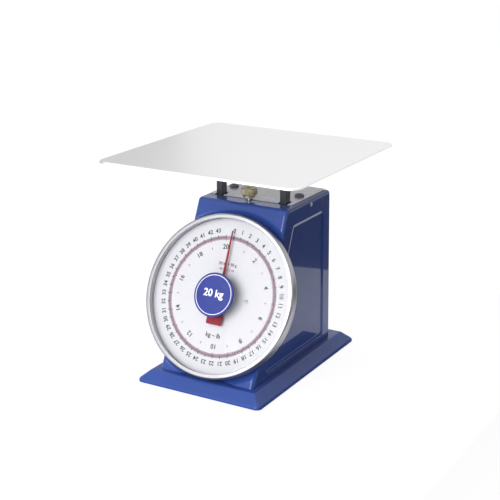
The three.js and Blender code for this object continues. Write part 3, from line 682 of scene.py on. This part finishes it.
def screw(node, head_r, head_h, shank_r, base, out):
    """A domed screw with a crossed recess. base is under the head, out is the way it faces."""
    turn = Vector(out).to_track_quat("Z", "Y").to_matrix().to_4x4()
    place = Matrix.Translation(base) @ turn
    section = [(0, 0), (head_r, 0), (head_r, head_h * 0.45), (head_r * 0.6, head_h), (0, head_h)]
    profile = rounded(section, [0, 0.1 * MM, 0.5 * MM, 0.8 * MM, 0], 5, closed=False)
    head = revolve(f"{node}_head", profile, 40)
    shank = rod("shank", shank_r, (0, 0, -5 * MM), (0, 0, head_h * 0.3), 16)
    boolean(head, "UNION", shank)
    arm, reach = head_r * 0.13, head_r * 0.62
    for wide, tall in ((reach, arm), (arm, reach)):
        carve(head, block("recess", (-wide, -tall, head_h * 0.35), (wide, tall, head_h * 2)))
    head.data.transform(place)
    return finish_piece(head, "steel", "housing", node, smooth=35)


def housing_screws():
    """Four screws hold the back cover, and one is in each side under the top edge."""
    cover_seat, side_seat, shank_r = BACK_Y + 1.2 * MM, 66.2 * MM, 1.5 * MM
    for node, place in SCREW_PLACES.items():
        if node.startswith("cover"):
            base = Vector((place.x, cover_seat, place.z))
            screw(node, 3.2 * MM, 1.6 * MM, shank_r, base, (0, 1, 0))
        else:
            lo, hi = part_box(node)
            side = 1 if place.x > 0 else -1
            base = Vector((side * side_seat, place.y, place.z))
            screw(node, (hi.z - lo.z) / 2, 1.4 * MM, shank_r, base, (side, 0, 0))


def top_plugs():
    """Two low round plugs with a hollow in the middle."""
    for node in ("top_plug_left", "top_plug_right"):
        lo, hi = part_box(node)
        radius, height = (hi.x - lo.x) / 2, hi.z - lo.z
        section = [(0, 0), (radius, 0), (radius * 0.86, height), (radius * 0.5, height),
                   (radius * 0.42, height * 0.6), (0, height * 0.6)]
        profile = rounded(section, [0, 0.3 * MM, 1 * MM, 0.4 * MM, 0.3 * MM, 0], 5, closed=False)
        place = Matrix.Translation((middle(node).x, middle(node).y, lo.z))
        plug = revolve(f"{node}_cap", profile, 48, place)
        finish_piece(plug, "grey_plastic", "housing", node)


# ---------------------------------------------------------------- dial head

FACE_H = 4 * MM             # the printed face, above the dial's zero plane
RIM_H = 14.1 * MM           # the outside of the lens at its rim
LENS_T = 1.5 * MM
DOME_R = 98 * MM            # where the lens turns from dome to flat rim
DOME_SAG = 9.2 * MM         # how far the dome rises over that rim
SPHERE_R = (DOME_R ** 2 + DOME_SAG ** 2) / (2 * DOME_SAG)
DIAL_SCREW_X = 37 * MM
BADGE_R = 28 * MM
BADGE_T = 1.1 * MM
BADGE_GAP = 0.3 * MM        # glue between the lens and the badge


def dome(radius):
    """Height of the lens dome over its rim at a radius."""
    return math.sqrt(SPHERE_R ** 2 - radius ** 2) - (SPHERE_R - DOME_SAG)


def dome_arc(r0, r1, height, steps):
    """Points along the dome from one radius to another, over a rim at height."""
    return [
        Vector((r, height + dome(r)))
        for r in (r0 + (r1 - r0) * i / steps for i in range(steps + 1))]


def dial_case():
    """The white pan behind the dial."""
    section = [
        (8, -4.6), (102.4, -4.6), (102.4, 12.2), (101.2, 12.2), (101.2, -3.4), (8, -3.4)]
    profile = rounded([(r * MM, z * MM) for r, z in section],
                      [0.3 * MM, 2.6 * MM, 0.3 * MM, 0.3 * MM, 1.4 * MM, 0.3 * MM], 5)
    case = revolve("dial_pan", profile, 192, DIAL)
    return finish_piece(case, "dial_white", "housing", "dial_case")


def dial_plate():
    """The printed face, a disc with a turned-back edge and two screw holes."""
    section = [(6, 3), (99.6, 3), (99.6, -3.1), (100.8, -3.1), (100.8, 4), (6, 4)]
    profile = rounded([(r * MM, z * MM) for r, z in section],
                      [0, 0, 0.3 * MM, 0.3 * MM, 1.2 * MM, 0.2 * MM], 5)
    plate = revolve("dial_face", profile, 192)
    for x in (-DIAL_SCREW_X, DIAL_SCREW_X):
        carve(plate, rod("hole", SCREW_HOLE_R, (x, 0, 0), (x, 0, 8 * MM), 24))
    plate.data.transform(DIAL)
    return finish_piece(plate, "dial_white", "housing", "dial_plate")


def dial_screws():
    """The two screws that hold the printed face, one on each side of the pointer."""
    out = DIAL.to_3x3() @ Vector((0, 0, 1))
    for node, x in (("dial_screw_left", -DIAL_SCREW_X), ("dial_screw_right", DIAL_SCREW_X)):
        base = DIAL @ Vector((x, 0, FACE_H + 0.1 * MM))
        screw(node, 2.4 * MM, 1.1 * MM, 1.3 * MM, base, out)


def bezel():
    """The polished ring: a deep side wall and a rolled flange that holds the lens down."""
    section = [
        (103, 4), (105, 4), (105, 15.6), (98.8, 15.6), (98.8, 14.4), (103, 14.4)]
    profile = rounded([(r * MM, z * MM) for r, z in section],
                      [0.5 * MM, 0.9 * MM, 2.6 * MM, 0.59 * MM, 0.59 * MM, 0.3 * MM], 8)
    return finish_piece(revolve("bezel_ring", profile, 256, DIAL), "chrome", "housing", "bezel")


def lens():
    """The clear dome with a flat rim under the bezel's flange."""
    edge, inside = 102.1 * MM, RIM_H - LENS_T
    rim = [Vector((edge, inside)), Vector((edge, RIM_H))]
    profile = dome_arc(0, DOME_R - LENS_T, inside, 24) + rim + dome_arc(DOME_R, 0, RIM_H, 24)
    dome_piece = revolve("lens_dome", profile, 192, DIAL)
    return finish_piece(dome_piece, "lens_clear", "housing", "lens", smooth=60)


def badge():
    """The round badge that follows the dome, with its outer edge chamfered."""
    height, chamfer = RIM_H + BADGE_GAP, 0.5 * MM
    profile = dome_arc(0, BADGE_R, height, 10)
    profile.append(Vector((BADGE_R, height + BADGE_T - chamfer + dome(BADGE_R))))
    profile += dome_arc(BADGE_R - chamfer, 0, height + BADGE_T, 10)
    return finish_piece(revolve("lens_badge", profile, 128, DIAL), "badge_blue", "housing", "badge")


# ---------------------------------------------------------------- print


INK_GAP = 0.02 * MM         # from the surface to the underside of the ink
INK_T = 0.04 * MM
BAND_SINK = 0.03 * MM       # the band lies this much lower, so the ticks stay on top of it
BOLDNESS = 0.022            # how much each stroke is widened, as a share of the letter size


def glyphs(text, size):
    """Flat vertices and faces of a short text, centred."""
    curve = bpy.data.curves.new("glyphs", "FONT")
    curve.body = text
    curve.size = size
    curve.align_x = "CENTER"
    curve.align_y = "CENTER"
    curve.offset = BOLDNESS * size
    curve.resolution_u = 3
    mesh = mesh_of(curve, "glyphs")
    data = ([v.co.copy() for v in mesh.vertices], [tuple(p.vertices) for p in mesh.polygons])
    bpy.data.curves.remove(curve)
    bpy.data.meshes.remove(mesh)
    return data


class Print:
    """Collects flat ink shapes in the dial's own plane, then lays them on the dial."""

    def __init__(self):
        self.verts = []
        self.faces = []

    def add(self, verts, faces, turn=0.0, radius=0.0):
        """Adds a shape drawn about (0, radius), then turned clockwise about the dial's middle."""
        base = len(self.verts)
        spin = Matrix.Rotation(-turn, 2)
        self.verts += [spin @ Vector((v[0], v[1] + radius)) for v in verts]
        self.faces += [tuple(base + i for i in face) for face in faces]

    def tick(self, turn, r0, r1, width):
        """A short radial line."""
        half = width / 2
        corners = [(-half, r0), (half, r0), (half, r1), (-half, r1)]
        self.add(corners, [(0, 1, 2, 3)], turn)

    def text(self, text, size, turn, radius):
        self.add(*glyphs(text, size), turn, radius)

    def ring(self, r0, r1, steps=240):
        """A flat ring about the dial's middle."""
        circle = [2 * math.pi * i / steps for i in range(steps)]
        verts = [(r * math.sin(a), r * math.cos(a)) for a in circle for r in (r0, r1)]
        faces = []
        for i in range(steps):
            a, b = 2 * i, 2 * ((i + 1) % steps)
            faces.append((a, a + 1, b + 1, b))
        self.add(verts, faces)

    def lay(self, name, material, slot, height):
        """Makes the ink a thin solid layer. height(radius) is the surface it lies on."""
        work = bmesh.new()
        verts = [work.verts.new((v.x, v.y, 0)) for v in self.verts]
        for face in self.faces:
            work.faces.new([verts[i] for i in face])
        bmesh.ops.remove_doubles(work, verts=work.verts, dist=MERGE)
        bmesh.ops.recalc_face_normals(work, faces=work.faces)
        made = bmesh.ops.extrude_face_region(work, geom=work.faces[:])
        top = [part for part in made["geom"] if isinstance(part, bmesh.types.BMVert)]
        for vert in work.verts:
            vert.co.z = height(math.hypot(vert.co.x, vert.co.y)) + INK_GAP
        for vert in top:
            vert.co.z += INK_T
        bmesh.ops.recalc_face_normals(work, faces=work.faces)
        mesh = bpy.data.meshes.new(name)
        work.to_mesh(mesh)
        work.free()
        mesh.transform(DIAL)
        mesh.materials.append(material)
        obj = linked(name, mesh)
        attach(obj, "housing")


KG_FULL = 20
LB_FULL = 44
LB_TURN = math.radians(8)                      # one pound of pointer turn
KG_TURN = math.radians(352.727) / KG_FULL      # one kilogram of pointer turn
RING_R = 75 * MM                               # the circle that both scales stand on
BAND_HALF = 2.6 * MM                           # the tinted band lies on both sides of it
LINE_HALF = 0.2 * MM
LB_STEPS = 8                                   # graduations in a pound, two ounces each
KG_STEPS = 20                                  # graduations in a kilogram, 50 g each
TICK_WIDE, TICK_FINE = 0.9 * MM, 0.38 * MM


def graduate(ink, count, steps, turn, outward, half_reach):
    """Ticks on the ring: long and wide at each whole unit, middling at each half, short between."""
    for mark in range(count * steps + 1):
        whole, half = mark % steps == 0, mark % (steps // 2) == 0
        reach = 3.6 * MM if whole else half_reach if half else 1.9 * MM
        ends = (RING_R, RING_R + reach) if outward else (RING_R - reach, RING_R)
        ink.tick(mark * turn / steps, *ends, TICK_WIDE if whole else TICK_FINE)


def dial_print():
    """The two scales, pounds outside the ring and kilograms inside it, and their captions."""
    black, red, band = Print(), Print(), Print()
    band.ring(RING_R - BAND_HALF, RING_R + BAND_HALF)
    graduate(black, LB_FULL, LB_STEPS, LB_TURN, True, 2.6 * MM)
    graduate(red, KG_FULL, KG_STEPS, KG_TURN, False, 2.7 * MM)
    black.ring(RING_R - LINE_HALF, RING_R + LINE_HALF)
    for pounds in range(LB_FULL):
        black.text(str(pounds), 7.6 * MM, pounds * LB_TURN, 84.5 * MM)
    for kilos in range(1, KG_FULL + 1):
        if kilos % 2 == 0:
            black.text(str(kilos), 8.4 * MM, kilos * KG_TURN, 63.4 * MM)
        else:
            red.tick(kilos * KG_TURN, 62 * MM, 65 * MM, 1 * MM)
    black.text("20 kg × 50 g", 5.2 * MM, 0, 41.5 * MM)
    red.text("44 lb × 2 oz", 4.4 * MM, 0, 34.5 * MM)
    black.text("kg – lb", 8 * MM, 0, -50 * MM)
    band.lay("dial_band_print", BAND_INK, "dial_white", lambda radius: FACE_H - BAND_SINK)
    black.lay("dial_black_print", BLACK_INK, "dial_white", lambda radius: FACE_H)
    red.lay("dial_red_print", RED_INK, "dial_white", lambda radius: FACE_H)


def badge_print():
    """A plain capacity mark in a thin circle."""
    white = Print()
    white.text("20 kg", 13 * MM, 0, 1.5 * MM)
    white.ring(24.6 * MM, 25.4 * MM, 120)
    white.lay("badge_print", WHITE_INK, "badge_blue", lambda r: RIM_H + BADGE_GAP + BADGE_T + dome(r))


# ---------------------------------------------------------------- pointer


BORE_R = 1.65               # millimetres, the radius of the hole that takes the pointer's arbor


def pointer():
    """A needle over the numerals and a wide tail that balances it."""
    half = [
        (0.8, 84), (1.9, 14), (4.5, 5), (4.5, -6), (4, -17), (11, -25.5), (11, -36.6)]
    points = half + [(-x, y) for x, y in reversed(half)]
    radii = [0.5, 12, 4, 4, 4, 1.5, 1.2]
    outline = rounded([(x * MM, y * MM) for x, y in points], [r * MM for r in radii + radii[::-1]], 5)
    blade = prism("pointer_blade", outline, 8.6 * MM, 9.4 * MM)
    carve(blade, rod("bore", BORE_R * MM, (0, 0, 0), (0, 0, 20 * MM), 24))
    blade.data.transform(DIAL)
    soften(blade, 0.2 * MM, 2)
    return finish_piece(blade, "pointer_red", "pointer_shaft", "pointer")


def pointer_fittings():
    """The brass boss behind the pointer and the nut in front: outer radius, heights and edges."""
    for name, node, outer, low, high, edges in (
            ("pointer_boss", "pointer_hub", 5, 6.4, 8.3, (0.4, 0.4)),
            ("pointer_lock", "pointer_nut", 3.4, 9.7, 11.4, (0.3, 0.5))):
        section = [(BORE_R, low), (outer, low), (outer, high), (BORE_R, high)]
        profile = rounded([(r * MM, z * MM) for r, z in section],
                          [r * MM for r in (0, *edges, 0)], 4)
        finish_piece(revolve(name, profile, 48, DIAL), "brass", "pointer_shaft", node)


# ---------------------------------------------------------------- pan, knob and springs


def pan():
    """A flat sheet with a rounded edge turned down all round."""
    half, radius, sheet, land = PAN_HI.x, 15 * MM, 1.2 * MM, 25 * MM
    rim = PAN_HI.z - PAN_LO.z
    outer = rounded([(0, 0), (0, rim), (land, rim)], [0, 2.2 * MM, 0], 8, closed=False)
    inner = rounded([(sheet, 0), (sheet, rim - sheet), (land, rim - sheet)],
                    [0, 1.2 * MM, 0], 8, closed=False)
    rings = [rect_ring(half, -half, half, radius, inset, PAN_LO.z + z, 14)
             for inset, z in inner[::-1] + outer]
    return finish_piece(stack("pan_tray", rings), "stainless", "pan_body", "pan")


def zero_knob():
    """A knurled brass knob with chamfered ends and a turned collar under it."""
    flutes, points, knurl_depth = 40, 4, 0.55 * MM
    collar, dimple = 8 * MM, 3 * MM
    height = KNOB_HI.z - KNOB_LO.z
    outer = (KNOB_HI.y - KNOB_LO.y) / 2

    def ring(radius, knurl, z):
        verts = []
        for i in range(flutes * points):
            angle = 2 * math.pi * i / (flutes * points)
            wave = knurl * (0.5 + 0.5 * math.cos(2 * math.pi * i / points))
            verts.append(((radius - wave) * math.cos(angle), (radius - wave) * math.sin(angle), z))
        return verts

    place = Matrix.Translation((0, middle("zero_knob").y, KNOB_LO.z))
    rings = [
        ring(collar, 0, 0), ring(collar, 0, 3 * MM), ring(outer - 0.8 * MM, 0, 3.2 * MM),
        ring(outer, knurl_depth, 4 * MM), ring(outer, knurl_depth, height - 1 * MM),
        ring(outer - 1 * MM, 0, height), ring(dimple, 0, height),
        ring(dimple - 0.4 * MM, 0, height - 0.6 * MM)]
    knob = stack("zero_thumb_knob", rings, place)
    return finish_piece(knob, "brass", "zero_adjuster", "zero_knob", smooth=40)


def main_spring(name, node):
    """A coiled tension spring with a straight leg on its axis at each end."""
    lo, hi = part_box(node)
    x, mid_y = middle(node).x, middle(node).y
    wire = 0.9 * MM
    radius = (hi.y - lo.y) / 2 - wire
    turns, per_turn, leg = 24, 20, 6 * MM
    z0, z1 = lo.z + leg, hi.z - leg
    steps = turns * per_turn
    path = [Vector((x, mid_y, lo.z + wire)), Vector((x, mid_y, lo.z + leg * 0.5))]
    for i in range(steps + 1):
        angle = 2 * math.pi * i / per_turn
        path.append(Vector((x + radius * math.cos(angle), mid_y + radius * math.sin(angle),
                            z0 + (z1 - z0) * i / steps)))
    path += [Vector((x, mid_y, hi.z - leg * 0.5)), Vector((x, mid_y, hi.z - wire))]
    curve = bpy.data.curves.new(name, "CURVE")
    curve.dimensions = "3D"
    curve.bevel_depth = wire
    curve.bevel_resolution = 2
    curve.use_fill_caps = True
    spline = curve.splines.new("POLY")
    spline.points.add(len(path) - 1)
    for point, place in zip(spline.points, path):
        point.co = (*place, 1)
    mesh = mesh_of(curve, name)
    spring = linked(name, mesh)
    mesh.materials.clear()
    mesh.materials.append(LOOKS["steel"])
    mesh.shade_smooth()
    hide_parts(node)
    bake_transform(spring)


# ---------------------------------------------------------------- the plainer pieces

# How far the sharp edges of these CAD shapes are rounded, in millimetres. The rest stay as they are.
SOFT_EDGES = {
    "post_left": 0.8, "post_right": 0.8, "pan_spider": 0.8, "lower_crossbar": 0.5,
    "upper_crossbar": 0.3, "rack_crossbar": 0.4, "chassis_frame": 0.3, "spring_hanger": 0.5,
    "rack_arm": 0.25, "upper_guide_arm": 0.2, "lower_guide_arm": 0.2, "upper_guide_pin": 0.4,
    "lower_guide_pin": 0.4, "upper_link_pin": 0.3, "lower_link_pin": 0.3, "zero_screw": 0.2,
    "front_bearing_plate": 0.25, "rear_bearing_plate": 0.25, "rack_keeper": 0.25,
    "damper_cylinder": 0.3, "damper_cap": 0.3, "damper_piston": 0.3,
}


def body_of(node):
    """The body that a CAD node moves with."""
    bodies = frame["record"]["behaviour"]["bodies"]
    return next(name for name, nodes in bodies.items() if node in nodes)


def soft_edged(node, width):
    """The CAD node's own shape with its sharp edges rounded off."""
    source = frame["nodes"][node]
    mesh = source.data.copy()
    work = bmesh.new()
    work.from_mesh(mesh)
    bmesh.ops.remove_doubles(work, verts=work.verts, dist=MERGE)
    bmesh.ops.dissolve_limit(
        work, angle_limit=math.radians(1), verts=work.verts, edges=work.edges)
    work.to_mesh(mesh)
    work.free()
    obj = linked(f"{node}_finished", mesh)
    soften(obj, width * MM, 2, 40)
    return finish_piece(obj, SLOT_OF[node], body_of(node), node, smooth=40)


# ---------------------------------------------------------------- stage, light and camera

TARGET = Vector((-1.2, 1.3, 155.8)) * MM        # what the camera looks at
AZIMUTH = math.radians(30.13)
ELEVATION = math.radians(17.65)
DISTANCE = 1539 * MM
LENS = 85.0536                                  # focal length in millimetres
LIT_POINT = Vector((0, 0, 130)) * MM            # what both lights point at
FLOOR_HALF = 60                                 # so wide that its edge lies near the horizon


def place_camera():
    data = bpy.data.cameras.new("camera")
    data.lens = LENS
    data.sensor_width = 36
    data.clip_end = 5 * FLOOR_HALF
    camera = linked("camera", data)
    away = Vector((
        math.sin(AZIMUTH) * math.cos(ELEVATION), -math.cos(AZIMUTH) * math.cos(ELEVATION),
        math.sin(ELEVATION)))
    camera.location = TARGET + away * DISTANCE
    camera.rotation_euler = (-away).to_track_quat("-Z", "Y").to_euler()
    bpy.context.scene.camera = camera


def stage_material(name, colour, glow):
    """A matt surface that also gives off white light of its own."""
    material = bpy.data.materials.new(name)
    material.use_nodes = True
    shader = material.node_tree.nodes["Principled BSDF"]
    shader.inputs["Base Color"].default_value = (*colour, 1)
    shader.inputs["Roughness"].default_value = 0.9
    shader.inputs["Specular IOR Level"].default_value = 0.0
    shader.inputs["Emission Color"].default_value = (1, 1, 1, 1)
    shader.inputs["Emission Strength"].default_value = glow
    return material


def stage_card(name, corners, material):
    """A flat card that the camera does not see, but whose reflection and shade the scale shows."""
    card = solid(name, corners, [(0, 1, 2, 3)])
    card.data.materials.append(material)
    card.visible_camera = False
    return card


def upright(start, end, low, high):
    """The corners of a card standing between two points of the floor."""
    return [(*start, low), (*end, low), (*end, high), (*start, high)]


def level(lo, hi, z):
    """The corners of a card lying flat between two opposite corners."""
    return [(lo[0], lo[1], z), (hi[0], lo[1], z), (hi[0], hi[1], z), (lo[0], hi[1], z)]


def place_floor():
    floor = solid("floor", level((-FLOOR_HALF, -FLOOR_HALF), (FLOOR_HALF, FLOOR_HALF), 0), [(0, 1, 2, 3)])
    floor.data.materials.append(stage_material("floor", (0.12, 0.12, 0.12), 0.92))


def place_screens(dark):
    """Two dark screens on the right: the low part is mirrored in the paint, the high part shades."""
    screens = {"behind": ((0.20, 0.41), (0.80, 0.31)), "right": ((0.34, 0.36), (0.34, -0.7))}
    mirrored_to, shade_to = 0.13, 0.6
    for name, ends in screens.items():
        stage_card(f"screen_{name}", upright(*ends, 0, mirrored_to), dark)
    for name, ends in screens.items():
        stage_card(f"shade_{name}", upright(*ends, mirrored_to, shade_to), dark).visible_glossy = False


def place_mirrored_cards(dark):
    """Grey cards for the pan and the bezel, and dark strips round the base, seen as reflections only."""
    grey = stage_material("grey_card", (0.0, 0.0, 0.0), 0.5)
    front, rear = TRAY_LO.y - 1.5 * MM, TRAY_HI.y + 1.5 * MM
    right = TRAY_HI.x + 2 * MM
    cards = [
        ("card_behind_left", upright((-0.50, 0.60), (-1.60, 0.60), 0.2, 1.4), grey),
        ("card_left", upright((-0.60, -0.60), (-0.60, 0.30), 0, 0.8), grey),
        ("strip_front", level((-0.2, -0.2), (0.2, front), MM), dark),
        ("strip_right", level((right, front), (0.125, rear), MM), dark)]
    for name, corners, material in cards:
        card = stage_card(name, corners, material)
        card.visible_diffuse = False
        card.visible_shadow = False


def area_light(name, place, size, power):
    """A square light aimed at the middle of the scale."""
    data = bpy.data.lights.new(name, "AREA")
    data.shape = "SQUARE"
    data.size = size
    data.energy = power
    light = linked(name, data)
    light.location = place
    light.rotation_euler = (LIT_POINT - Vector(place)).to_track_quat("-Z", "Y").to_euler()


def place_lights():
    """A bright even sky, a wide key light in front and a soft light above."""
    world = bpy.data.worlds.new("studio")
    world.use_nodes = True
    sky = world.node_tree.nodes["Background"]
    sky.inputs["Color"].default_value = (1, 1, 1, 1)
    sky.inputs["Strength"].default_value = 0.8
    bpy.context.scene.world = world
    bpy.context.scene.view_settings.view_transform = "Standard"
    area_light("key", (-0.15, -2.2, 1.1), 1.6, 48)
    area_light("top", (-0.2, 0.3, 2.2), 2.5, 15)


# ---------------------------------------------------------------- build

base_tray()
rubber_feet()
housing_shell()
top_cover()
back_cover()
housing_screws()
top_plugs()
dial_case()
dial_plate()
dial_screws()
bezel()
lens()
badge()
dial_print()
badge_print()
pointer()
pointer_fittings()
pan()
zero_knob()
main_spring("left_spring", "main_spring_left")
main_spring("right_spring", "main_spring_right")
for soft_node, soft_width in SOFT_EDGES.items():
    soft_edged(soft_node, soft_width)
for kept in frame["nodes"].values():
    kept.data.materials.clear()
    kept.data.materials.append(LOOKS[SLOT_OF[kept.name]])

place_floor()
dark_card = stage_material("screen", (0.01, 0.01, 0.015), 0.0)
place_screens(dark_card)
place_mirrored_cards(dark_card)
place_lights()
place_camera()
